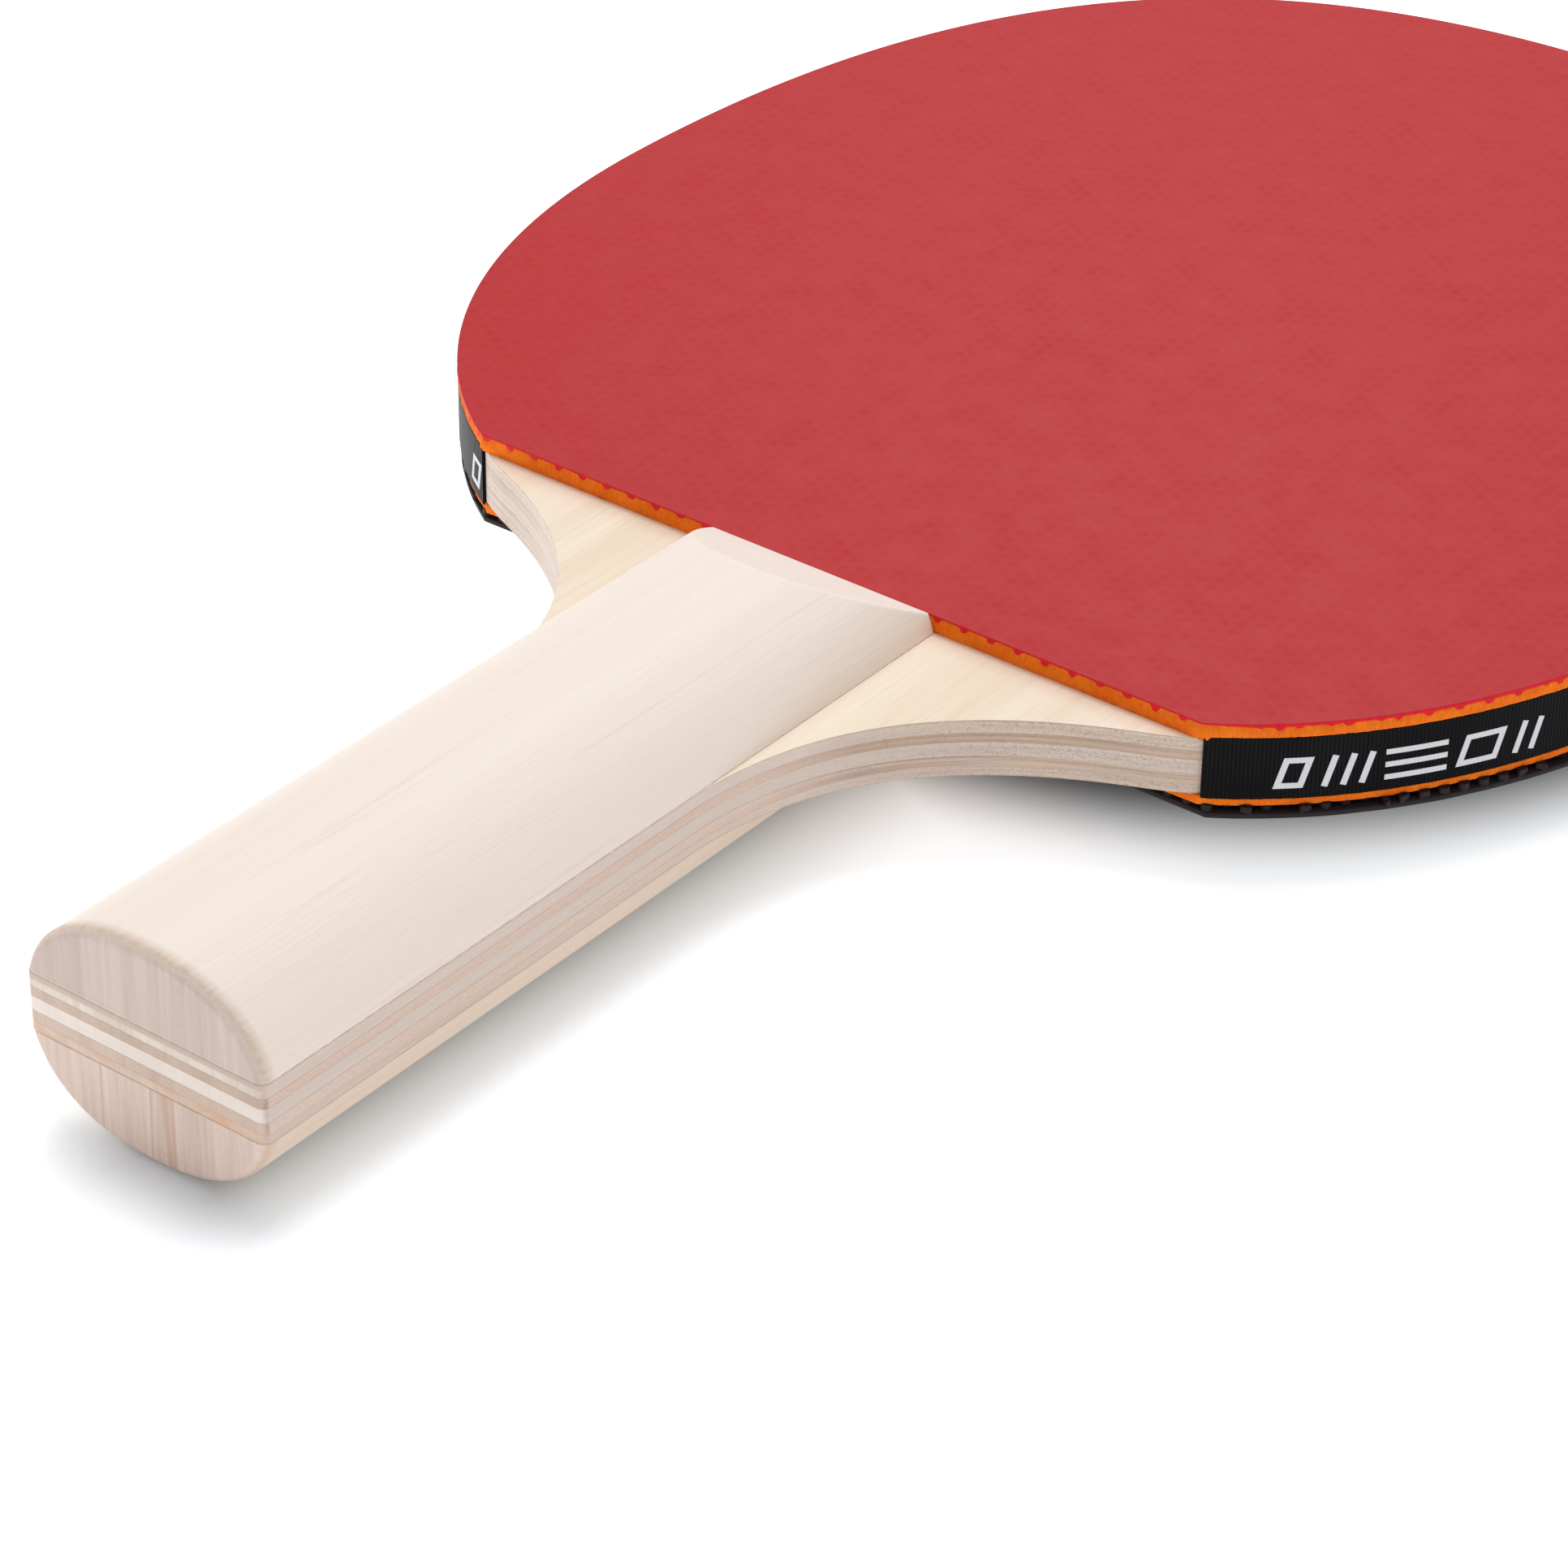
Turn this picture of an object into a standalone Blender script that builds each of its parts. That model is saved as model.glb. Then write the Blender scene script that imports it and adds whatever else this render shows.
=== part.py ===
"""Table tennis bat: a five-ply wooden blade, two half grips, sponge and rubber on each face, edge tape.

Metres, +Z up. The bat lies flat, red face up. Every outline is drawn with x = 0 on the centre
line, y = 0 at the butt and z = 0 in the middle of the blade. The parent empty then moves the
whole bat so that its origin is at the bottom centre of its bounding box.
"""

from math import atan2, cos, pi, sin

import bmesh
import bpy
from mathutils import Euler, Vector
from mathutils.geometry import interpolate_bezier

NAME = "table_tennis_bat"

# Blade outline, seen from above.
LENGTH = 0.2554          # butt to tip
HEAD_HALF_WIDTH = 0.0752
WIDEST_Y = 0.1623        # where the head is widest
NECK_Y = 0.0968          # where the shoulder curve turns into the head curve
NECK_RIGHT, NECK_LEFT = 0.0420, 0.0401   # half widths there: shaped by hand, so not quite equal
NECK_ANGLE = 0.405       # direction of the outline there, from +X
SHOULDER_Y = 0.0590      # where the shoulder leaves the straight handle
HANDLE_HALF_WIDTH = 0.0146
RIM_RADIUS = 0.0010      # softened rim of the butt

# Layers, from the red face down.
PLIES = (
    ("face_ply_red_side", 0.00145),
    ("cross_ply_red_side", 0.0011),
    ("core_ply", 0.00155),
    ("cross_ply_black_side", 0.00125),
    ("face_ply_black_side", 0.00105),
)
BLADE_THICKNESS = sum(thickness for _, thickness in PLIES)
GLUE = 0.0001            # glue line between two layers
RED_SPONGE, RED_SHEET = 0.0014, 0.0006
BLACK_SPONGE, BLACK_SHEET = 0.0010, 0.0012

# How far each layer on the head stands out from the wood.
TAPE_GAP, TAPE_THICKNESS = 0.0001, 0.0003
RED_OVERHANG = 0.0004
BLACK_OVERHANG = 0.0011
RUBBER_EDGE_Y = 0.0989   # straight edge of the rubbers, where the grips end
TAPE_END_Y = 0.0993

# Grips: half of a squared-off oval on each face of the handle.
GRIP_HEIGHT = 0.0118     # top of the grip above the middle of the blade
GRIP_HALF_WIDTH = 0.0149
GRIP_SQUARENESS = 2.3    # 2 is an ellipse, more is squarer
CHAMFER_START_Y = 0.0860
FRONT_HEIGHT = 0.0052    # height of the grip's front edge above the middle of the blade
SECTION_STEPS = 22

WOOD_FACE = (0.89, 0.76, 0.58)
WOOD_GRIP = (0.88, 0.78, 0.66)
WOOD_CROSS = (0.52, 0.36, 0.27)
WOOD_CORE = (0.82, 0.72, 0.60)


def collection(name):
    found = bpy.data.collections.new(name)
    bpy.context.scene.collection.children.link(found)
    return found


def material(name, colour, roughness):
    made = bpy.data.materials.new(name)
    made.use_nodes = True
    shader = made.node_tree.nodes["Principled BSDF"]
    shader.inputs["Base Color"].default_value = (*colour, 1.0)
    shader.inputs["Roughness"].default_value = roughness
    shader.inputs["Metallic"].default_value = 0.0
    made.diffuse_color = (*colour, 1.0)
    return made


def bezier(start, start_handle, end_handle, end, steps):
    """Points of one Bezier piece in the XY plane, without its last point."""
    corners = [Vector((x, y, 0.0)) for x, y in (start, start_handle, end_handle, end)]
    return [point.to_2d() for point in interpolate_bezier(*corners, steps + 1)[:-1]]


def half_outline(neck_x):
    """One side of the blade's outline, drawn on the right, from the butt up to the tip."""
    along = Vector((cos(NECK_ANGLE), sin(NECK_ANGLE)))
    neck = Vector((neck_x, NECK_Y))
    corner = HANDLE_HALF_WIDTH - RIM_RADIUS
    points = [Vector((corner + RIM_RADIUS * sin(a), RIM_RADIUS * (1 - cos(a))))
              for a in (0.0, pi / 8, pi / 4, 3 * pi / 8, pi / 2)]
    points += bezier((HANDLE_HALF_WIDTH, SHOULDER_Y), (HANDLE_HALF_WIDTH, SHOULDER_Y + 0.019),
                     neck - 0.019 * along, neck, 14)
    into_head = neck + (0.0550 - neck_x) / cos(NECK_ANGLE) * along
    points += bezier(neck, into_head, (HEAD_HALF_WIDTH, WIDEST_Y - 0.0385),
                     (HEAD_HALF_WIDTH, WIDEST_Y), 16)
    points += bezier((HEAD_HALF_WIDTH, WIDEST_Y), (HEAD_HALF_WIDTH, WIDEST_Y + 0.0545),
                     (0.055, LENGTH), (0.0, LENGTH), 20)
    return points + [Vector((0.0, LENGTH))]


def outline(outset=0.0):
    """The closed outline, moved out from the wood by outset."""
    right, left = half_outline(NECK_RIGHT), half_outline(NECK_LEFT)
    loop = right[:-1] + [Vector((-p.x, p.y)) for p in reversed(left)]
    moved = []
    for i, point in enumerate(loop):
        along = (loop[(i + 1) % len(loop)] - loop[i - 1]).normalized()
        moved.append(point + outset * Vector((along.y, -along.x)))
    return moved


def plate(name, points, thickness):
    """A flat plate with this outline, its middle at z = 0, as a mesh object."""
    curve = bpy.data.curves.new(name, "CURVE")
    curve.dimensions = "2D"
    curve.fill_mode = "BOTH"
    curve.extrude = thickness / 2
    spline = curve.splines.new("POLY")
    spline.points.add(len(points) - 1)
    for spot, point in zip(spline.points, points):
        spot.co = (point.x, point.y, 0.0, 1.0)
    spline.use_cyclic_u = True
    drawn = bpy.data.objects.new(name + "_outline", curve)
    bpy.context.scene.collection.objects.link(drawn)
    graph = bpy.context.evaluated_depsgraph_get()
    mesh = bpy.data.meshes.new_from_object(drawn.evaluated_get(graph))
    bpy.data.objects.remove(drawn)
    bpy.data.curves.remove(curve)
    mesh.name = name
    work = bmesh.new()
    work.from_mesh(mesh)
    bmesh.ops.remove_doubles(work, verts=work.verts, dist=1e-6)
    bmesh.ops.recalc_face_normals(work, faces=work.faces)
    work.to_mesh(mesh)
    work.free()
    return bpy.data.objects.new(name, mesh)


def place(obj, look, group, parent):
    """Gives the object its material and collection, and smooth sides with sharp corners."""
    if look:
        obj.data.materials.clear()
        obj.data.materials.append(look)
        obj.data.shade_smooth()
        obj.data.set_sharp_from_angle(angle=0.6)
    group.objects.link(obj)
    obj.parent = parent
    return obj


def as_cutter(obj, group, parent):
    obj.hide_render = True
    obj.display_type = "WIRE"
    return place(obj, None, group, parent)


def box(name, size, location, tilt=0.0):
    """A box that turns about the X axis by tilt."""
    bpy.ops.mesh.primitive_cube_add(size=1.0, location=(0, 0, 0))
    obj = bpy.context.object
    obj.name = obj.data.name = name
    for vertex in obj.data.vertices:
        vertex.co = [a * b for a, b in zip(vertex.co, size)]
    for used in obj.users_collection:
        used.objects.unlink(obj)
    obj.location = location
    obj.rotation_euler = (tilt, 0.0, 0.0)
    return obj


def cut(obj, cutter):
    boolean = obj.modifiers.new("cut by " + cutter.name, "BOOLEAN")
    boolean.operation = "DIFFERENCE"
    boolean.solver = "EXACT"
    boolean.object = cutter


def grip_section():
    """Half of a squared-off oval above the blade, x across and y up, from right to left."""
    base = BLADE_THICKNESS / 2 + GLUE
    lift = base / GRIP_HEIGHT
    first = (lift ** GRIP_SQUARENESS / (1 - lift ** GRIP_SQUARENESS)) ** 0.5
    low = atan2(first, 1.0)
    points = []
    for i in range(SECTION_STEPS + 1):
        angle = low + (pi - 2 * low) * i / SECTION_STEPS
        across = abs(cos(angle)) ** (2 / GRIP_SQUARENESS) * (1 if cos(angle) > 0 else -1)
        up = sin(angle) ** (2 / GRIP_SQUARENESS)
        points.append(Vector((GRIP_HALF_WIDTH * across, GRIP_HEIGHT * up)))
    points[0].y = points[-1].y = base
    return points


def grip(name, side):
    """One half of the grip: side is 1 above the blade and -1 below it."""
    length = RUBBER_EDGE_Y - GLUE
    obj = plate(name, grip_section(), length)
    work = bmesh.new()
    work.from_mesh(obj.data)
    # The section was drawn in the XY plane: stand it up, with the butt at y = 0.
    bmesh.ops.rotate(work, verts=work.verts, cent=(0, 0, 0),
                     matrix=Euler((pi / 2, 0, 0)).to_matrix())
    bmesh.ops.translate(work, verts=work.verts, vec=(0, length / 2, 0))
    base = BLADE_THICKNESS / 2 + GLUE
    rim = [edge for edge in work.edges
           if all(v.co.y < 1e-6 for v in edge.verts)
           and not all(v.co.z < base + 1e-6 for v in edge.verts)
           and len(edge.link_faces) == 2
           and any(abs(face.normal.y) < 0.5 for face in edge.link_faces)]
    bmesh.ops.bevel(work, geom=rim, offset=RIM_RADIUS, segments=3, profile=0.5, affect="EDGES")
    if side < 0:
        bmesh.ops.rotate(work, verts=work.verts, cent=(0, 0, 0),
                         matrix=Euler((0, pi, 0)).to_matrix())
    bmesh.ops.recalc_face_normals(work, faces=work.faces)
    work.to_mesh(obj.data)
    work.free()
    return obj


for old in list(bpy.data.objects):
    bpy.data.objects.remove(old, do_unlink=True)

bat = collection(NAME)
cutters = collection("cutters")
origin = bpy.data.objects.new(NAME + "_origin", None)
bat.objects.link(origin)
origin.location = (0.0, -(LENGTH + BLACK_OVERHANG) / 2, GRIP_HEIGHT)

# Everything on the head stops at the straight edge in front of the grips.
rubber_cutter = as_cutter(
    box("rubber_edge_cutter", (0.2, 0.2, 0.1), (0, RUBBER_EDGE_Y - 0.1, 0)), cutters, origin)
tape_cutter = as_cutter(
    box("tape_end_cutter", (0.2, 0.2, 0.1), (0, TAPE_END_Y - 0.1, 0)), cutters, origin)

# Blade: five plies with one outline.
ply_looks = {"face": (WOOD_FACE, 0.6), "cross": (WOOD_CROSS, 0.75), "core": (WOOD_CORE, 0.7)}
top = BLADE_THICKNESS / 2
for name, thickness in PLIES:
    ply = plate(name, outline(), thickness - GLUE)
    ply.location.z = top - thickness / 2
    top -= thickness
    colour, roughness = ply_looks[name.split("_")[0]]
    place(ply, material(name, colour, roughness), bat, origin)

# Grips, each sloped down to the rubber at its front.
slope = atan2(GRIP_HEIGHT - FRONT_HEIGHT, RUBBER_EDGE_Y - CHAMFER_START_Y)
for side, name in ((1, "grip_red_side"), (-1, "grip_black_side")):
    half = grip(name, side)
    place(half, material(name, WOOD_GRIP, 0.55), bat, origin)
    outward = Vector((0.0, sin(slope), side * cos(slope)))
    on_slope = Vector((0.0, CHAMFER_START_Y, side * GRIP_HEIGHT))
    chamfer = box(name + "_chamfer_cutter", (0.06, 0.06, 0.02), on_slope + 0.01 * outward,
                  -side * slope)
    cut(half, as_cutter(chamfer, cutters, origin))

# Sponge and pimpled sheet on each face.
z = BLADE_THICKNESS / 2
layers = (
    ("sponge_red_side", 1, 0.0, RED_SPONGE, RED_OVERHANG - 0.0001, (0.78, 0.28, 0.06), 0.9),
    ("sheet_red", 1, RED_SPONGE, RED_SHEET, RED_OVERHANG, (0.55, 0.06, 0.06), 0.55),
    ("sponge_black_side", -1, 0.0, BLACK_SPONGE, BLACK_OVERHANG - 0.0002,
     (0.78, 0.28, 0.06), 0.9),
    ("sheet_black", -1, BLACK_SPONGE, BLACK_SHEET, BLACK_OVERHANG, (0.025, 0.020, 0.021), 0.55),
)
for name, side, below, thickness, overhang, colour, roughness in layers:
    layer = plate(name, outline(overhang), thickness - GLUE)
    layer.location.z = side * (z + below + (thickness + GLUE) / 2)
    place(layer, material(name, colour, roughness), bat, origin)
    cut(layer, rubber_cutter)

# Woven tape round the edge of the head, as tall as the blade.
tape = plate("edge_tape", outline(TAPE_GAP + TAPE_THICKNESS), BLADE_THICKNESS)
place(tape, material("edge_tape", (0.020, 0.020, 0.022), 0.8), bat, origin)
tape_inside = as_cutter(
    plate("tape_inside_cutter", outline(TAPE_GAP), 2 * BLADE_THICKNESS), cutters, origin)
cut(tape, tape_inside)
cut(tape, tape_cutter)
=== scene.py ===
"""Looks for a table tennis bat lying face up: layered wood, sponge, pimpled rubber and woven edge tape."""
from math import atan2, cos, pi, radians, sin

import bpy
import numpy as np
from mathutils import Euler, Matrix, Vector, noise


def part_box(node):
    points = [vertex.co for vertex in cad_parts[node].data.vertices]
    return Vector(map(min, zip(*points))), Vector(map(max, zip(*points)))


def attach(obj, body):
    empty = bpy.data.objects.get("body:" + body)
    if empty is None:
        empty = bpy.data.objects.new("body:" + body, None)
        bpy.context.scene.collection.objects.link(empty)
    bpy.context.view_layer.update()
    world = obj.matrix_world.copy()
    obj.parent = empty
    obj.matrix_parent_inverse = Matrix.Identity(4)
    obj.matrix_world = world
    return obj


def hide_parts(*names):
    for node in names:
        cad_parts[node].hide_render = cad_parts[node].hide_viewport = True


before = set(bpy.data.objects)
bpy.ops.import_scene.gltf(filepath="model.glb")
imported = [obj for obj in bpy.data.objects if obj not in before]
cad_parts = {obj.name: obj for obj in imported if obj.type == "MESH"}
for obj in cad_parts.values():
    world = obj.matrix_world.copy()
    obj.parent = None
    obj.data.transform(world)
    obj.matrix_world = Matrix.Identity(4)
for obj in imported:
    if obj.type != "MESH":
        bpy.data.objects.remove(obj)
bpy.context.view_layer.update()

MM = 0.001

# ---------------------------------------------------------------- places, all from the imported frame
BUTT_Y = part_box("core_ply")[0][1]
TIP_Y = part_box("core_ply")[1][1]
EDGE_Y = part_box("sheet_red")[0][1]            # straight edge of the rubbers
WOOD_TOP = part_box("face_ply_red_side")[1][2] + 0.05 * MM
WOOD_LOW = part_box("face_ply_black_side")[0][2] - 0.05 * MM
MID_Z = (WOOD_TOP + WOOD_LOW) / 2
TAPE_TOP, TAPE_LOW = WOOD_TOP + 0.40 * MM, WOOD_LOW - 0.30 * MM   # it laps over the sponges a little
RED_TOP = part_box("sheet_red")[1][2]
BLACK_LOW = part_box("sheet_black")[0][2]
GRIP_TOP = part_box("grip_red_side")[1][2]
PLIES = ["face_ply_red_side", "cross_ply_red_side", "core_ply", "cross_ply_black_side",
         "face_ply_black_side"]


# ---------------------------------------------------------------- outline of the blade
def bezier(a, b, c, d, steps):
    t = np.linspace(0, 1, steps, endpoint=False)[:, None]
    a, b, c, d = (np.array(p, float) for p in (a, b, c, d))
    return (1 - t) ** 3 * a + 3 * (1 - t) ** 2 * t * b + 3 * (1 - t) * t ** 2 * c + t ** 3 * d


# In millimetres from the butt's middle, as the part's own outline is drawn.
HANDLE_HALF, HANDLE_END, CORNER = 14.6, 59.0, 1.0
NECK_Y, NECK_RIGHT, NECK_LEFT, NECK_ANGLE = 96.8, 42.0, 40.1, 0.405
HEAD_HALF, WIDEST_Y, BLADE_LENGTH = 75.2, 162.3, 255.4


def half_outline(neck_x):
    """One side, drawn on the right, from the butt to the tip, in packed metres."""
    neck, along = np.array((neck_x, NECK_Y)), np.array((cos(NECK_ANGLE), sin(NECK_ANGLE)))
    corner = [(HANDLE_HALF - CORNER + CORNER * sin(a), CORNER * (1 - cos(a)))
              for a in np.linspace(0, pi / 2, 7)[:-1]]
    side = [(HANDLE_HALF, y) for y in np.linspace(CORNER, HANDLE_END, 60)[:-1]]
    end, widest, tip = (HANDLE_HALF, HANDLE_END), (HEAD_HALF, WIDEST_Y), (0, BLADE_LENGTH)
    parts = [corner, side,
             bezier(end, (HANDLE_HALF, 78), neck - 19 * along, neck, 60),
             bezier(neck, neck + (55 - neck_x) / cos(NECK_ANGLE) * along, (HEAD_HALF, 123.8), widest, 80),
             bezier(widest, (HEAD_HALF, 216.8), (55, BLADE_LENGTH), tip, 110),
             [tip]]
    return np.concatenate([np.array(p, float) for p in parts]) * MM + (0, BUTT_Y)


RIGHT, LEFT = half_outline(NECK_RIGHT), half_outline(NECK_LEFT)


def whole_outline():
    return np.concatenate([RIGHT[:-1], (LEFT * (-1, 1))[::-1]])


def outset(loop, by):
    along = np.roll(loop, -1, axis=0) - np.roll(loop, 1, axis=0)
    along /= np.linalg.norm(along, axis=1)[:, None]
    return loop + by * np.stack([along[:, 1], -along[:, 0]], 1)


def head_outline(by, step=0.3 * MM, end_y=EDGE_Y, shift=0.0):
    """The head beyond end_y, moved out by `by`. Open: from the right corner round to the left one."""
    loop = outset(whole_outline(), by) + (shift, 0.0)
    inside = np.flatnonzero(loop[:, 1] > end_y)
    first, last = inside[0], inside[-1]
    ends = []
    for a, b in ((loop[first - 1], loop[first]), (loop[last + 1], loop[last])):
        ends.append(a + (b - a) * (end_y - a[1]) / (b[1] - a[1]))
    return resample(np.concatenate([ends[:1], loop[first:last + 1], ends[1:]]), step)


def resample(points, step):
    length = np.concatenate([[0], np.cumsum(np.linalg.norm(np.diff(points, axis=0), axis=1))])
    at = np.linspace(0, length[-1], max(2, int(length[-1] / step)))
    return np.stack([np.interp(at, length, points[:, i]) for i in (0, 1)], 1)


def closed_head(by, step=0.3 * MM, end_y=EDGE_Y, shift=0.0):
    """The same outline closed along the straight edge."""
    arc = head_outline(by, step, end_y, shift)
    straight = resample(np.array([arc[-1], arc[0]]), step)[1:-1]
    return np.concatenate([arc, straight])


def normals_of(loop):
    along = np.roll(loop, -1, axis=0) - np.roll(loop, 1, axis=0)
    along /= np.linalg.norm(along, axis=1)[:, None]
    return np.stack([along[:, 1], -along[:, 0]], 1)


# ---------------------------------------------------------------- mesh making
def add_object(name, verts, faces, material, smooth=0.6, uv=None):
    mesh = bpy.data.meshes.new(name)
    mesh.from_pydata([tuple(v) for v in verts], [], [tuple(f) for f in faces])
    mesh.update()
    obj = bpy.data.objects.new(name, mesh)
    bpy.context.scene.collection.objects.link(obj)
    for one in (material if isinstance(material, (list, tuple)) else [material]):
        mesh.materials.append(one)
    mesh.shade_smooth()
    if smooth is not None:
        mesh.set_sharp_from_angle(angle=smooth)
    if uv is not None:
        layer = mesh.uv_layers.new(name="UVMap")
        index = np.empty(len(mesh.loops), int)
        mesh.loops.foreach_get("vertex_index", index)
        layer.data.foreach_set("uv", np.asarray(uv, float)[index].ravel())
    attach(obj, "root")
    return obj


def rings_to_mesh(rings, cap_first=True, cap_last=True):
    """Quads between closed rings of equal length, with a face over each end."""
    n = len(rings[0])
    verts = np.concatenate(rings)
    faces = []
    for r in range(len(rings) - 1):
        a, b = r * n, (r + 1) * n
        faces += [(a + i, a + (i + 1) % n, b + (i + 1) % n, b + i) for i in range(n)]
    if cap_first:
        faces.append(tuple(range(n - 1, -1, -1)))
    if cap_last:
        faces.append(tuple(range((len(rings) - 1) * n, len(rings) * n)))
    return verts, faces


def ring(loop, z):
    z = np.full(len(loop), z) if np.isscalar(z) else z
    return np.column_stack([loop, z])


def arc_length(loop):
    return np.concatenate([[0], np.cumsum(np.linalg.norm(np.diff(loop, axis=0), axis=1))])


def wobble(points, scale, seed):
    """Smooth repeatable noise from -1 to 1 at each point."""
    return np.array([noise.noise(Vector((p[0] * scale, p[1] * scale, seed))) for p in points])


# ---------------------------------------------------------------- materials
class Graph:
    """A Principled material and short ways to wire it."""

    def __init__(self, name, roughness=0.6, **sockets):
        self.mat = bpy.data.materials.new(name)
        self.mat.use_nodes = True
        self.tree = self.mat.node_tree
        self.shader = self.tree.nodes["Principled BSDF"]
        self.shader.inputs["Roughness"].default_value = roughness
        for key, value in sockets.items():
            self.shader.inputs[key.replace("_", " ")].default_value = value
        self.coords = self.tree.nodes.new("ShaderNodeTexCoord")
        self.geometry = self.tree.nodes.new("ShaderNodeNewGeometry")

    def put(self, socket, value):
        if isinstance(value, bpy.types.NodeSocket):
            self.tree.links.new(value, socket)
        else:
            socket.default_value = value

    def new(self, kind, ins=None, out=0, **props):
        node = self.tree.nodes.new(kind)
        for key, value in props.items():
            setattr(node, key, value)
        for key, value in (ins or {}).items():
            self.put(node.inputs[key], value)
        return node.outputs[out]

    def math(self, op, a, b=0.0, c=0.0, clamp=False):
        return self.new("ShaderNodeMath", {0: a, 1: b, 2: c}, operation=op, use_clamp=clamp)

    def at(self, scale=(1, 1, 1), move=(0, 0, 0), source=None):
        source = source or self.coords.outputs["Object"]
        return self.new("ShaderNodeMapping", {"Vector": source, "Scale": scale, "Location": move})

    def noise(self, scale, detail=3.0, roughness=0.5, distortion=0.0, move=(0, 0, 0), source=None):
        """Noise with its own scale along X, Y and Z, in features per metre."""
        return self.new("ShaderNodeTexNoise",
                        {"Vector": self.at(scale, move, source), "Scale": 1.0, "Detail": detail,
                         "Roughness": roughness, "Distortion": distortion})

    def span(self, value, low, high, to_low=0.0, to_high=1.0):
        return self.new("ShaderNodeMapRange",
                        {"Value": value, "From Min": low, "From Max": high,
                         "To Min": to_low, "To Max": to_high}, clamp=True)

    def mix(self, fac, a, b, blend="MIX"):
        node = self.tree.nodes.new("ShaderNodeMix")
        node.data_type = "RGBA"
        node.blend_type = blend
        self.put(node.inputs[0], fac)
        for socket, value in ((node.inputs[6], a), (node.inputs[7], b)):
            self.put(socket, value if isinstance(value, bpy.types.NodeSocket) else (*value, 1.0))
        return node.outputs[2]

    def axes(self, vector):
        node = self.new("ShaderNodeSeparateXYZ", {0: vector}).node
        return node.outputs[0], node.outputs[1], node.outputs[2]

    def bump(self, height, distance, strength=1.0, normal=None):
        ins = {"Height": height, "Distance": distance, "Strength": strength}
        if normal:
            ins["Normal"] = normal
        return self.new("ShaderNodeBump", ins)

    def finish(self, colour=None, roughness=None, normal=None):
        for key, value in (("Base Color", colour), ("Roughness", roughness), ("Normal", normal)):
            if value is not None:
                self.put(self.shader.inputs[key], value)
        return self.mat


def dot_grid(g, pitch, turned, x, y, radius):
    """1 in the middle of each pimple of a hexagonal grid, 0 outside it."""
    wide = pitch * 3 ** 0.5
    across, up = (x, y) if turned else (y, x)
    found = None

    def centred(value, shift):
        """-0.5 to 0.5 across each cell. The 200 keeps FRACT's input above zero."""
        return g.math("SUBTRACT", g.math("FRACT", g.math("ADD", value, shift + 200)), 0.5)

    for shift in (0.0, 0.5):
        a, b = [g.math("MULTIPLY", centred(g.math("DIVIDE", value, size), shift), size)
                for value, size in ((across, wide), (up, pitch))]
        d = g.math("SQRT", g.math("ADD", g.math("MULTIPLY", a, a), g.math("MULTIPLY", b, b)))
        found = d if found is None else g.math("MINIMUM", found, d)
    return g.span(found, radius * 1.6, radius * 0.4)


def pimple_distance(points, pitch, turned):
    """Distance of each XY point from the nearest pimple's middle, on the same grid as dot_grid."""
    wide = pitch * 3 ** 0.5
    across, up = (points[:, 0], points[:, 1]) if turned else (points[:, 1], points[:, 0])
    best = np.full(len(points), 1.0)
    for shift in (0.0, 0.5):
        a = ((across / wide + shift) % 1.0 - 0.5) * wide
        b = ((up / pitch + shift) % 1.0 - 0.5) * pitch
        best = np.minimum(best, np.hypot(a, b))
    return best


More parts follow.
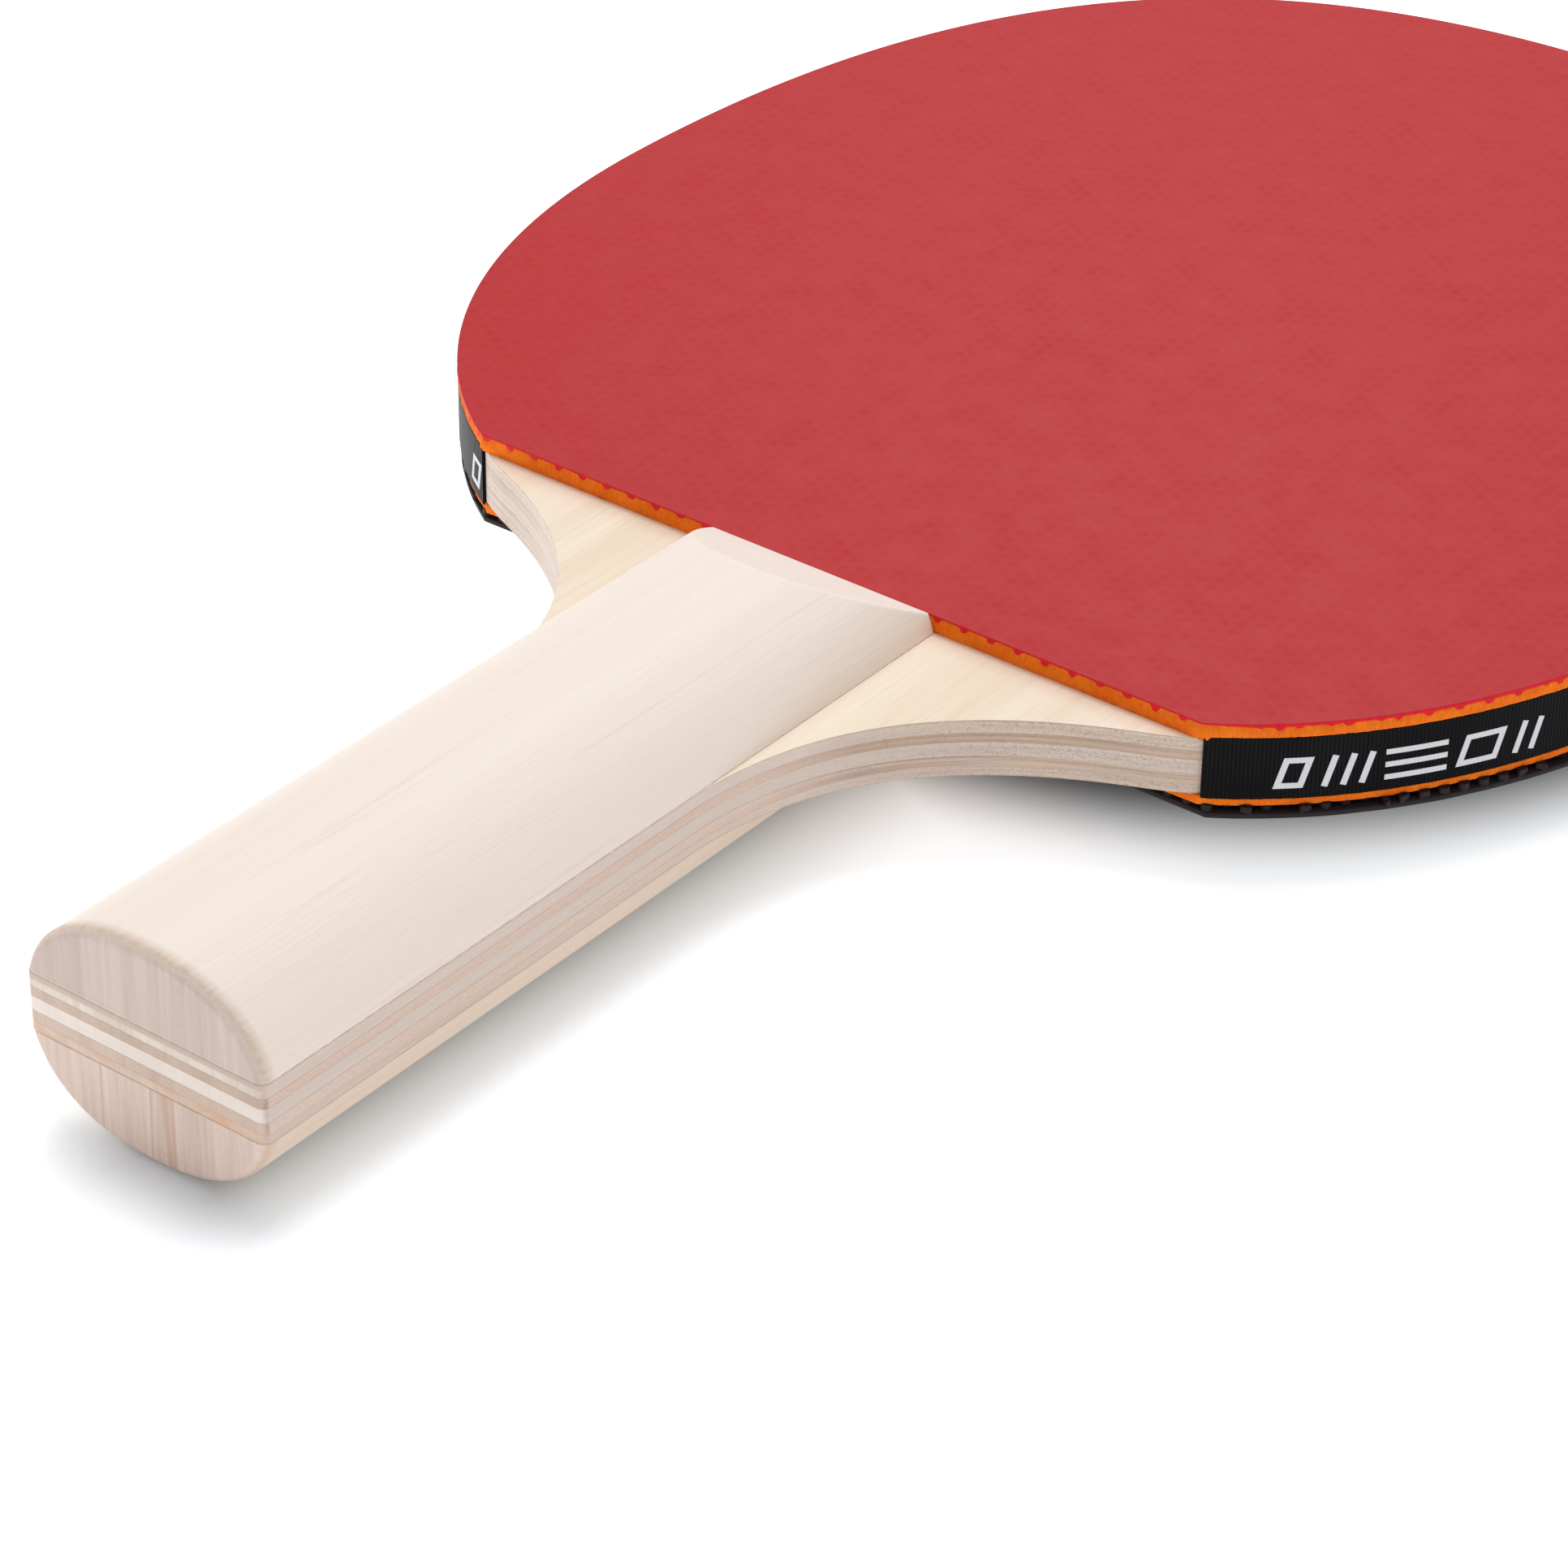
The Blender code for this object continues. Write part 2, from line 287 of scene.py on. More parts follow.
def wood(name, grain, cut, butt, seed, cross=False, roughness=0.62, rim=None, seams=(), patches=None,
         split=None, streaks=None, painted_side_shade=(0.87, 0.86, 0.87)):
    """Pale wood. Each of grain, cut and butt is a (light, dark) pair: the long grain, a rough cut
    across it, and the sanded butt end. The grain runs along Y, or along X in a cross ply. The
    left side of the bat, its cut included, is painted paler: a painted highlight for the light from the
    left.
    Split is a level and the colour of the butt above it; patches and streaks also colour the butt.
    Its last argument darkens the upright sides with painted shade."""
    g = Graph(name, roughness)
    g.shader.inputs["Specular IOR Level"].default_value = 0.3
    x, y, z = g.axes(g.coords.outputs["Object"])
    nx, ny, nz = g.axes(g.geometry.outputs["Normal"])
    long = (lambda s: (s[1], s[0], s[2])) if cross else (lambda s: s)
    move = (seed, seed * 1.7, seed * 0.6)
    # Long grain: broad bands, fine fibres and a few thin darker lines.
    broad = g.noise(long((150, 5, 150)), 3, 0.5, 0.5, move)
    fine = g.noise(long((2600, 55, 2600)), 4, 0.65, 0.2, move)
    lines = g.noise(long((420, 3, 420)), 1, 0.4, 0.3, move)
    tone = g.math("ADD", g.math("MULTIPLY", g.span(broad, 0.32, 0.7), 0.55),
                  g.math("MULTIPLY", g.span(fine, 0.3, 0.7), 0.45))
    layers = g.noise((40, 40, 3000), 2, 0.6, 0.2, move)
    if cross:
        tone = g.math("ADD", g.math("MULTIPLY", tone, 0.3),
                      g.math("MULTIPLY", g.span(layers, 0.32, 0.68), 0.7))
    colour = g.mix(tone, *grain)
    streak = g.math("SUBTRACT", 1.0, g.span(g.math("ABSOLUTE", g.math("SUBTRACT", lines, 0.56)), 0.0, 0.012))
    colour = g.mix(g.math("MULTIPLY", streak, g.span(fine, 0.3, 0.7, 0.10, 0.45)), colour,
                   tuple(c * k for c, k in zip(grain[1], (0.90, 0.80, 0.72))))
    # Cut across the grain: fuzzy grains of fibre ends with pits between them.
    cells = g.new("ShaderNodeTexVoronoi", {"Vector": g.at((2600, 2600, 3000), move), "Scale": 1.0},
                  feature="F1")
    mottle = g.noise((1300, 1300, 1600), 4, 0.65, 0.3, move)
    grains = g.noise((4200, 4200, 4200), 2, 0.6, 0.0, move)
    cut_tone = g.math("ADD", g.math("MULTIPLY", g.span(grains, 0.35, 0.65), 0.5),
                      g.math("MULTIPLY", g.span(layers, 0.35, 0.65), 0.5))
    cut_colour = g.mix(cut_tone, *cut)
    pit = g.math("MULTIPLY", g.span(cells, 0.40, 0.12), g.span(mottle, 0.46, 0.60))
    crumbs = g.noise((1700, 1700, 2300), 3, 0.7, 0.4, move)
    if cross:
        pit = g.math("MULTIPLY", pit, 0.12)
    cut_colour = g.mix(g.math("MULTIPLY", pit, 0.45), cut_colour,
                       tuple(c * k for c, k in zip(cut[1], (0.55, 0.47, 0.42))))
    across = g.span(g.math("ABSOLUTE", nx if cross else ny), *((0.86, 0.985) if cross else (0.35, 0.8)))
    colour = g.mix(across, colour, cut_colour)
    # Painted highlight: upright faces turned to the left are mixed towards a pale tone.
    left = g.math("MULTIPLY", g.span(nx, -0.25, -0.60, 0.0, 0.55),
                  g.span(g.math("ABSOLUTE", nz), 0.6, 0.3))
    colour = g.mix(left, colour, (0.86, 0.76, 0.68))
    # Butt end: sanded smooth, with upright streaks and faint crossing scratches.
    saw = g.noise((1900, 1900, 70), 3, 0.6, 0.1, move)
    bands = g.noise((330, 330, 18), 2, 0.5, 0.2, move)
    scratch = g.noise((80, 80, 2600), 2, 0.5, 0.0, move)
    butt_tone = g.math("ADD", g.math("MULTIPLY", g.span(saw, 0.3, 0.7), 0.5),
                       g.math("MULTIPLY", g.span(bands, 0.4, 0.68), 0.5))
    butt_colour = g.mix(butt_tone, *butt)
    butt_colour = g.mix(g.span(scratch, 0.55, 0.7, 0.0, 0.18), butt_colour, tuple(c * 0.86 for c in butt[1]))
    if patches:
        spots = g.noise((150, 150, 500), 3, 0.6, 0.4, move)
        butt_colour = g.mix(g.span(spots, 0.45, 0.6), butt_colour, patches)
    if streaks:
        few = g.noise((210, 210, 3), 1, 0.4, 0.2, move)
        line = g.span(g.math("ABSOLUTE", g.math("SUBTRACT", few, 0.60)), 0.018, 0.0)
        butt_colour = g.mix(g.math("MULTIPLY", line, 0.75), butt_colour, streaks)
    if split:
        butt_colour = g.mix(g.span(z, split[0] - 0.10 * MM, split[0] + 0.10 * MM), butt_colour, split[1])
    # Painted shade: upright sides turned left or right are darkened by a multiplied tone.
    colour = g.mix(g.span(g.math("ABSOLUTE", nx), 0.55, 0.90), colour, painted_side_shade, "MULTIPLY")
    at_butt = g.math("MULTIPLY", g.span(y, BUTT_Y + 1.5 * MM, BUTT_Y + 0.4 * MM),
                     g.span(g.math("ABSOLUTE", ny), 0.55, 0.9))
    colour = g.mix(at_butt, colour, butt_colour)
    if rim:
        near = g.span(y, BUTT_Y + 1.9 * MM, BUTT_Y + 0.7 * MM)
        band = g.math("MULTIPLY", near, g.math("SUBTRACT", 1.0, at_butt))
        colour = g.mix(g.math("MULTIPLY", band, g.span(fine, 0.3, 0.7, 0.55, 0.95)), colour, rim)
    for level in seams:
        line = g.span(g.math("ABSOLUTE", g.math("SUBTRACT", z, level)), 0.13 * MM, 0.03 * MM)
        line = g.math("MULTIPLY", line, g.span(g.math("ABSOLUTE", nz), 0.8, 0.5))
        colour = g.mix(g.math("MULTIPLY", line, g.span(mottle, 0.35, 0.6, 0.3, 0.9)), colour,
                       (0.42, 0.29, 0.18))
    torn = g.math("SUBTRACT", g.math("ADD", grains, g.math("MULTIPLY", crumbs, 1.6)), pit)
    rough = g.new("ShaderNodeMix", {0: across, 2: fine, 3: torn})
    smooth = g.new("ShaderNodeMix", {0: at_butt, 2: rough, 3: g.math("MULTIPLY", saw, 0.5)})
    return g.finish(colour, g.span(fine, 0.2, 0.8, roughness - 0.05, roughness + 0.10),
                    g.bump(smooth, 0.14 * MM, 0.5))


def rubber_top(name, base, dot, cut, pitch, turned, roughness):
    """Matt rubber sheet: its pimples show faintly through the face, its cut edge is brighter."""
    g = Graph(name, roughness)
    g.shader.inputs["Specular IOR Level"].default_value = 0.16
    x, y, z = g.axes(g.coords.outputs["Object"])
    dots = dot_grid(g, pitch, turned, x, y, 0.27 * pitch)
    mottle = g.noise((260, 260, 260), 4, 0.6)
    dust = g.noise((4200, 4200, 4200), 2, 0.5)
    face = g.mix(g.math("MULTIPLY", dots, g.span(mottle, 0.3, 0.7, 0.20, 0.70)), base, dot)
    face = g.mix(g.span(dust, 0.55, 0.75, 0.0, 0.12), face, tuple(min(1, c * 1.25 + 0.012) for c in base))
    up = g.math("ABSOLUTE", g.axes(g.geometry.outputs["Normal"])[2])
    edge_noise = g.noise((1500, 1500, 2500), 3, 0.6)
    edge = g.mix(g.span(edge_noise, 0.35, 0.7), cut, tuple(c * 0.74 for c in cut))
    colour = g.mix(g.span(up, 0.75, 0.35), face, edge)
    height = g.math("ADD", g.math("MULTIPLY", dots, -0.35), g.math("MULTIPLY", dust, 0.35))
    return g.finish(colour, g.span(mottle, 0.3, 0.7, roughness - 0.05, roughness + 0.06),
                    g.bump(height, 0.03 * MM, 0.5))


def foam(name, light, deep):
    """Cut sponge: fine upright fibres and small open cells."""
    g = Graph(name, 0.92)
    g.shader.inputs["Specular IOR Level"].default_value = 0.15
    fibre = g.noise((2600, 2600, 1100), 5, 0.75, 0.6)
    cells = g.new("ShaderNodeTexVoronoi", {"Vector": g.at((3200, 3200, 2600)), "Scale": 1.0},
                  feature="F1")
    patch = g.noise((300, 300, 300), 2, 0.5)
    tone = g.math("ADD", g.math("MULTIPLY", g.span(fibre, 0.3, 0.7), 0.6),
                  g.math("MULTIPLY", g.span(patch, 0.35, 0.65), 0.4))
    colour = g.mix(tone, light, deep)
    hole = g.span(cells, 0.22, 0.08, 0.0, 0.35)
    colour = g.mix(hole, colour, tuple(c * 0.45 for c in deep))
    height = g.math("SUBTRACT", fibre, g.math("MULTIPLY", hole, 0.6))
    return g.finish(colour, None, g.bump(height, 0.17 * MM, 1.0))


def woven(name):
    """Black cloth tape: upright ribs with a fine thread across them, slightly worn on the ribs."""
    g = Graph(name, 0.72)
    g.shader.inputs["Specular IOR Level"].default_value = 0.06
    g.shader.inputs["Sheen Weight"].default_value = 0.40
    g.shader.inputs["Sheen Roughness"].default_value = 0.25
    u, v, _ = g.axes(g.coords.outputs["UV"])
    ribs = g.math("SINE", g.math("MULTIPLY", u, 2 * pi / (0.42 * MM)))
    threads = g.math("SINE", g.math("MULTIPLY", v, 2 * pi / (0.30 * MM)))
    fuzz = g.noise((5000, 5000, 5000), 2, 0.6)
    worn = g.noise((120, 120, 120), 3, 0.5)
    rib = g.span(ribs, -1, 1)
    colour = g.mix(g.math("MULTIPLY", rib, g.span(worn, 0.35, 0.7, 0.35, 1.0)),
                   (0.0035, 0.0033, 0.0038), (0.012, 0.0115, 0.0125))
    colour = g.mix(g.span(fuzz, 0.6, 0.8, 0.0, 0.35), colour, (0.035, 0.035, 0.038))
    height = g.math("ADD", rib, g.math("MULTIPLY", g.math("MULTIPLY", threads, rib), 0.25))
    return g.finish(colour, g.span(fuzz, 0.2, 0.8, 0.62, 0.82), g.bump(height, 0.05 * MM, 0.7))


def ink(name):
    """Pale printing that follows the cloth's ribs."""
    g = Graph(name, 0.55)
    u, v, _ = g.axes(g.coords.outputs["UV"])
    ribs = g.span(g.math("SINE", g.math("MULTIPLY", u, 2 * pi / (0.42 * MM))), -1, 1)
    speck = g.noise((3500, 3500, 3500), 3, 0.6)
    colour = g.mix(g.span(speck, 0.56, 0.72, 0.0, 0.4), (0.64, 0.64, 0.66), (0.33, 0.33, 0.35))
    colour = g.mix(g.math("MULTIPLY", ribs, 0.12), colour, (0.80, 0.80, 0.82))
    return g.finish(colour, None, g.bump(ribs, 0.03 * MM, 0.4))


RED_PITCH, BLACK_PITCH = 1.9 * MM, 2.2 * MM
face_top_wood = wood("face_top_wood", ((0.90, 0.785, 0.655), (0.80, 0.66, 0.50)),
                     ((0.74, 0.60, 0.495), (0.51, 0.385, 0.30)),
                     ((0.84, 0.73, 0.65), (0.65, 0.53, 0.45)), 3.0, seams=(WOOD_TOP,),
                     split=(WOOD_TOP - 0.62 * MM, (0.62, 0.48, 0.39)), painted_side_shade=(0.80, 0.76, 0.83))
face_low_wood = wood("face_low_wood", ((0.80, 0.66, 0.55), (0.68, 0.54, 0.44)),
                     ((0.69, 0.55, 0.465), (0.48, 0.37, 0.30)),
                     ((0.78, 0.60, 0.48), (0.66, 0.50, 0.40)), 5.0, seams=(WOOD_LOW,),
                     patches=(0.72, 0.47, 0.33))
core_wood = wood("core_wood", ((0.80, 0.68, 0.59), (0.72, 0.59, 0.50)),
                 ((0.72, 0.59, 0.515), (0.50, 0.39, 0.325)),
                 ((0.89, 0.785, 0.71), (0.81, 0.70, 0.63)), 7.0)
cross_top_wood = wood("cross_top_wood", ((0.64, 0.475, 0.37), (0.38, 0.25, 0.18)),
                      ((0.83, 0.63, 0.51), (0.75, 0.56, 0.45)),
                      ((0.66, 0.50, 0.405), (0.56, 0.41, 0.325)), 11.0, cross=True)
cross_low_wood = wood("cross_low_wood", ((0.68, 0.53, 0.43), (0.42, 0.29, 0.215)),
                      ((0.85, 0.67, 0.55), (0.77, 0.59, 0.475)),
                      ((0.70, 0.54, 0.445), (0.60, 0.445, 0.36)), 13.0, cross=True)
grip_top_wood = wood("grip_top_wood", ((0.90, 0.805, 0.73), (0.845, 0.74, 0.655)),
                     ((0.84, 0.74, 0.66), (0.74, 0.62, 0.53)),
                     ((0.71, 0.58, 0.51), (0.55, 0.425, 0.365)), 19.0, roughness=0.58,
                     rim=(0.62, 0.465, 0.37), seams=(WOOD_TOP,), painted_side_shade=(1.0, 0.97, 0.95))
grip_low_wood = wood("grip_low_wood", ((0.88, 0.77, 0.635), (0.78, 0.655, 0.51)),
                     ((0.82, 0.70, 0.58), (0.72, 0.58, 0.46)),
                     ((0.83, 0.66, 0.57), (0.61, 0.45, 0.37)), 29.0, roughness=0.58,
                     rim=(0.60, 0.43, 0.33), seams=(WOOD_LOW,), streaks=(0.60, 0.38, 0.28),
                     painted_side_shade=(0.86, 0.78, 0.77))
red_rubber = rubber_top("red_rubber", (0.485, 0.024, 0.028), (0.415, 0.016, 0.020),
                        (0.80, 0.006, 0.020), RED_PITCH, True, 0.50)
black_rubber = rubber_top("black_rubber", (0.014, 0.011, 0.012), (0.010, 0.008, 0.009),
                          (0.020, 0.012, 0.013), BLACK_PITCH, False, 0.50)
sponge_foam = foam("sponge_foam", (1.0, 0.235, 0.014), (0.80, 0.128, 0.006))
tape_cloth = woven("tape_cloth")
tape_ink = ink("tape_ink")


# ---------------------------------------------------------------- blade: five plies
def ply(name, low, high, material):
    """One veneer with its edges just broken, so that a fine line shows between plies."""
    nick = 0.02 * MM
    loop = whole_outline()
    inner = outset(loop, -nick)
    rings = [ring(inner, low), ring(loop, low + nick), ring(loop, high - nick), ring(inner, high)]
    verts, faces = rings_to_mesh(rings)
    obj = add_object(name + "_veneer", verts, faces, material, 0.5)
    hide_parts(name)
    return obj


levels = [WOOD_TOP]
for upper, lower in zip(PLIES, PLIES[1:]):
    levels.append((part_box(upper)[0][2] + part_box(lower)[1][2]) / 2)
levels.append(WOOD_LOW)
looks = [face_top_wood, cross_top_wood, core_wood, cross_low_wood, face_low_wood]
for i, (name, look) in enumerate(zip(PLIES, looks)):
    ply(name, levels[i + 1], levels[i], look)


# ---------------------------------------------------------------- grips
def grip(name, side, material):
    """A squared-off half oval with a softened butt rim, sloped down to the rubber's edge."""
    power, half_width, height = 2.3, 14.9 * MM, GRIP_TOP - MID_Z
    length = EDGE_Y - BUTT_Y - 0.05 * MM
    slope_from, front = 86.0 * MM, 5.2 * MM
    base = (WOOD_TOP - MID_Z) if side > 0 else (MID_Z - WOOD_LOW)
    steps = 120
    lift = (base / height) ** power
    low = atan2((lift / (1 - lift)) ** 0.5, 1.0)
    angles = np.linspace(low, pi - low, steps + 1)
    x0 = half_width * np.abs(np.cos(angles)) ** (2 / power) * np.sign(np.cos(angles))
    z0 = height * np.sin(angles) ** (2 / power)
    r = 1.1 * MM
    stations = [(r * (1 - cos(a)), r * (1 - sin(a))) for a in np.linspace(0, pi / 2, 10)]
    stations += [(y, 0.0) for y in np.linspace(3 * MM, slope_from - 3 * MM, 28)]
    stations += [(y, 0.0) for y in np.linspace(slope_from - 2.5 * MM, length - 0.3 * MM, 70)]
    stations += [(length - 0.12 * MM, 0.04 * MM), (length, 0.14 * MM)]
    rings = []
    for y, inset in stations:
        shrink_x = (half_width - inset) / half_width
        shrink_z = (height - inset) / height
        x, z = x0 * shrink_x, z0 * shrink_z
        roof = height - (height - front) * (y - slope_from) / (length - slope_from)
        soft = 0.25 * MM
        gap = np.clip(0.5 + 0.5 * (roof - z) / soft, 0, 1)
        z = z * gap + roof * (1 - gap) - soft * gap * (1 - gap)
        z = np.maximum(z, base)
        z[0] = z[-1] = base
        rings.append(np.column_stack([x, np.full(len(x), y + BUTT_Y), MID_Z + side * z]))
    n = steps + 1
    verts = np.concatenate(rings)
    faces = []
    for k in range(len(rings) - 1):
        a, b = k * n, (k + 1) * n
        faces += [(a + i, a + (i + 1) % n, b + (i + 1) % n, b + i) for i in range(n)]
    faces += [tuple(range(n - 1, -1, -1)), tuple(range((len(rings) - 1) * n, len(rings) * n))]
    if side > 0:
        faces = [f[::-1] for f in faces]
    obj = add_object(name + "_scale", verts, faces, material, 0.75)
    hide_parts(name)
    return obj


grip("grip_red_side", 1, grip_top_wood)
grip("grip_black_side", -1, grip_low_wood)


# ---------------------------------------------------------------- red side: sponge and sheet
def foam_side(loop, normals, z_from, z_to, rows, seed, tape_edge):
    """Rings up the cut side of a sponge: upright fibres and a slightly crumbled surface, and
    pressed in behind the tape's edge where there is tape."""
    rings = [ring(loop - normals * (0.25 * MM), z_from)]
    taped = np.clip((loop[:, 1] - EDGE_Y - 0.3 * MM) / (0.2 * MM), 0, 1)
    start = z_from + (tape_edge - z_from) * taped
    rings.append(ring(loop - normals * (0.25 * MM * taped)[:, None], start))
    for k in range(rows + 1):
        t = k / rows
        push = (0.06 * 4 * t * (1 - t) + 0.06 * wobble(loop, 1000, seed + 1.5 * t)
                + 0.05 * wobble(loop, 3600, seed + 5 + 1.2 * t)) * MM
        rings.append(ring(loop + normals * push[:, None], start + (z_to - start) * t))
    return rings


def red_side():
    loop = closed_head(0.35 * MM, 0.16 * MM)
    out = normals_of(loop)
    bared = np.clip((loop[:, 1] - EDGE_Y) / (3 * MM), 0, 1)   # the straight edge is cut closer
    base = RED_TOP - (0.24 + 0.20 * bared) * MM
    near = pimple_distance(loop, RED_PITCH, True)
    teeth = np.clip((0.60 * MM - near) / (0.34 * MM), 0, 1)
    depth = (0.52 - 0.12 * bared) * MM * teeth * (0.85 + 0.5 * wobble(loop, 700, 4.2))
    ragged = 0.05 * MM * wobble(loop, 2500, 8.8)
    low = base - depth + ragged
    inner = outset(loop, -1.2 * MM)
    # Sheet: face, rounded upper edge, cut side, and the pimples that the cut went through.
    proud = (0.03 * MM + 0.05 * MM * teeth)[:, None]
    rings = [ring(inner, RED_TOP - 0.35 * MM), ring(loop - out * 0.1 * MM, low + 0.02 * MM),
             ring(loop + out * proud, low + 0.06 * MM),
             ring(loop + out * (0.05 * MM), base + 0.10 * MM),
             ring(loop + out * (0.05 * MM), RED_TOP - 0.07 * MM),
             ring(loop + out * (0.02 * MM), RED_TOP - 0.02 * MM),
             ring(loop - out * (0.06 * MM), RED_TOP)]
    verts, faces = rings_to_mesh(rings)
    sheet = add_object("red_sheet", verts, faces, red_rubber, 0.9)
    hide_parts("sheet_red")
    rings = foam_side(loop, out, WOOD_TOP, low + 0.04 * MM, 8, 1.0, TAPE_TOP)
    rings = [ring(inner, WOOD_TOP)] + rings + [ring(inner, RED_TOP - 0.4 * MM)]
    verts, faces = rings_to_mesh(rings)
    sponge = add_object("red_side_sponge", verts, faces, sponge_foam, 0.9)
    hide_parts("sponge_red_side")


def black_side():
    shift = 0.5 * MM                      # sheet glued on a little to the right, its sponge less so
    loop = closed_head(0.22 * MM, 0.16 * MM, shift=0.3 * shift)
    out = normals_of(loop)
    sponge_low = WOOD_LOW - 1.0 * MM
    sheet_high = BLACK_LOW + 0.62 * MM
    inner = outset(loop, -1.6 * MM)
    near = pimple_distance(loop, BLACK_PITCH, False)
    pressed = 0.10 * MM * np.clip((0.75 * MM - near) / (0.3 * MM), 0, 1)
    rings = foam_side(loop, out, WOOD_LOW, sponge_low + pressed, 6, 21.0, TAPE_LOW)
    rings = [ring(inner, WOOD_LOW)] + rings + [ring(inner, sponge_low + 0.05 * MM)]
    verts, faces = rings_to_mesh(rings)
    sponge = add_object("black_side_sponge", verts, [f[::-1] for f in faces], sponge_foam, 0.9)
    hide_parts("sponge_black_side")
    # Sheet with pimples: every pimple near the cut is there, and the cut goes through some.
    edge = closed_head(0.6 * MM, shift=shift)
    way = normals_of(edge)
    wave = (0.05 * MM * wobble(edge, 260, 3.1))[:, None]
    rings = [ring(outset(edge, -1.0 * MM), sheet_high),
             ring(edge - way * (0.05 * MM) + way * wave, sheet_high),
             ring(edge + way * wave, sheet_high - 0.06 * MM),
             ring(edge + way * wave, BLACK_LOW + 0.10 * MM),
             ring(edge - way * (0.03 * MM) + way * wave, BLACK_LOW + 0.03 * MM),
             ring(edge - way * (0.12 * MM), BLACK_LOW)]
    verts, faces = rings_to_mesh(rings)
    sheet = add_object("black_sheet", verts, [f[::-1] for f in faces], black_rubber, 0.9)
    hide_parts("sheet_black")
    pimples(edge, sheet_high - 0.05 * MM, sponge_low + 0.06 * MM)


def inside(points, loop):
    """Which points lie inside the closed loop."""
    x, y = points[:, 0][:, None], points[:, 1][:, None]
    a, b = loop, np.roll(loop, -1, axis=0)
    cross = (a[:, 1] > y) != (b[:, 1] > y)
    with np.errstate(divide="ignore", invalid="ignore"):
        at = a[:, 0] + (y - a[:, 1]) * (b[:, 0] - a[:, 0]) / (b[:, 1] - a[:, 1])
    return (cross & (x < at)).sum(axis=1) % 2 == 1


def pimples(edge, low, high):
    """Short rubber columns between sheet and sponge, in the band that can be seen from the side."""
    wide = BLACK_PITCH * 3 ** 0.5
    centres = []
    for shift in (0.0, 0.5):
        ys = np.arange(int((EDGE_Y - 0.01) / wide), int((TIP_Y + 0.01) / wide) + 1) + 0.5 - shift
        xs = np.arange(-40, 41) + 0.5 - shift
        gx, gy = np.meshgrid(xs * BLACK_PITCH, ys * wide)
        centres.append(np.column_stack([gx.ravel(), gy.ravel()]))
    centres = np.concatenate(centres)
    coarse = edge[::4]
    keep = inside(centres, coarse)
    gap = np.min(np.linalg.norm(centres[:, None] - coarse[None], axis=2), axis=1)
    centres = centres[keep & (gap < 5.0 * MM)]
    gap = np.min(np.linalg.norm(centres[:, None] - edge[None], axis=2), axis=1)
    verts, faces = [], []
    sides, radius = 12, 0.62 * MM
    for (cx, cy), room in zip(centres, gap):
        start = len(verts)
        near = edge[np.argmin(np.linalg.norm(edge - (cx, cy), axis=1))]
        way = np.array([near[0] - cx, near[1] - cy])
        way /= np.linalg.norm(way) + 1e-12
        for z, r in ((low, radius * 1.12), ((low + high) / 2, radius), (high, radius * 0.96)):
            for k in range(sides):
                p = np.array([r * cos(2 * pi * k / sides), r * sin(2 * pi * k / sides)])
                over = p @ way - (room - 0.06 * MM)
                if over > 0:
                    p = p - over * way
                verts.append((cx + p[0], cy + p[1], z))
        for level in (0, sides):
            faces += [(start + level + k, start + level + (k + 1) % sides,
                       start + level + sides + (k + 1) % sides, start + level + sides + k)
                      for k in range(sides)]
        faces.append(tuple(start + k for k in range(sides))[::-1])
        faces.append(tuple(start + 2 * sides + k for k in range(sides)))
    obj = add_object("black_sheet_pimples", verts, faces, black_rubber, 0.9)


red_side()
black_side()


# ---------------------------------------------------------------- edge tape and its printing
def tape_arc(by, step=0.35 * MM):
    """The tape's path moved out by `by`, always with the same number of points."""
    arc = head_outline(0.0, step, EDGE_Y + 0.4 * MM)
    along = np.gradient(arc, axis=0)
    along /= np.linalg.norm(along, axis=1)[:, None]
    return arc + by * np.stack([along[:, 1], -along[:, 0]], 1)


def band(name, arc_in, arc_out, low, high, material, edge=0.09 * MM):
    """A strip standing round an open arc, with rounded long edges, and UVs in metres."""
    profile = [(0.0, low), (0.6, low), (1.0, low + edge)]
    profile += [(1.0, low + edge + (high - low - 2 * edge) * k / 8) for k in range(1, 8)]
    profile += [(1.0, high - edge), (0.6, high), (0.0, high)]
    along = arc_length(arc_out)
    n, m = len(arc_out), len(profile)
    ragged = 0.03 * MM * wobble(arc_out, 900, 6.6)
    verts, uv = [], []
    for j in range(n):
        for k, (t, z) in enumerate(profile):
            p = arc_in[j] * (1 - t) + arc_out[j] * t
            shift = ragged[j] if k > m / 2 else -ragged[(j * 7) % n]
            verts.append((p[0], p[1], z + (shift if k < 3 or k > m - 4 else 0.0)))
            uv.append((along[j], z))
    faces = [(j * m + k, (j + 1) * m + k, (j + 1) * m + (k + 1) % m, j * m + (k + 1) % m)
             for j in range(n - 1) for k in range(m)]
    faces += [tuple(range(m)), tuple(range(n * m - 1, (n - 1) * m - 1, -1))]
    return add_object(name, verts, faces, material, 0.9, uv)


tape_in, tape_out = tape_arc(0.0), tape_arc(0.38 * MM)
tape = band("cloth_tape", tape_in, tape_out, TAPE_LOW, TAPE_TOP, tape_cloth)
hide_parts("edge_tape")
INK_TOP, INK_ROOT = tape_arc(0.42 * MM), tape_arc(0.35 * MM)   # a film that stands 0.04 mm proud
PRINT_ALONG = arc_length(INK_TOP)


def on_tape(arc, s, height):
    """The point at this distance along the tape, and this height."""
    return np.interp(s, PRINT_ALONG, arc[:, 0]), np.interp(s, PRINT_ALONG, arc[:, 1]), height


def stroke(points, width):
    """A ribbon of this width along 2D points (distance, height), with square ends."""
    pts = np.array(points, float)
    d = np.gradient(pts, axis=0)
    d /= np.linalg.norm(d, axis=1)[:, None]
    side = np.stack([-d[:, 1], d[:, 0]], 1) * width / 2
    return pts + side, pts - side


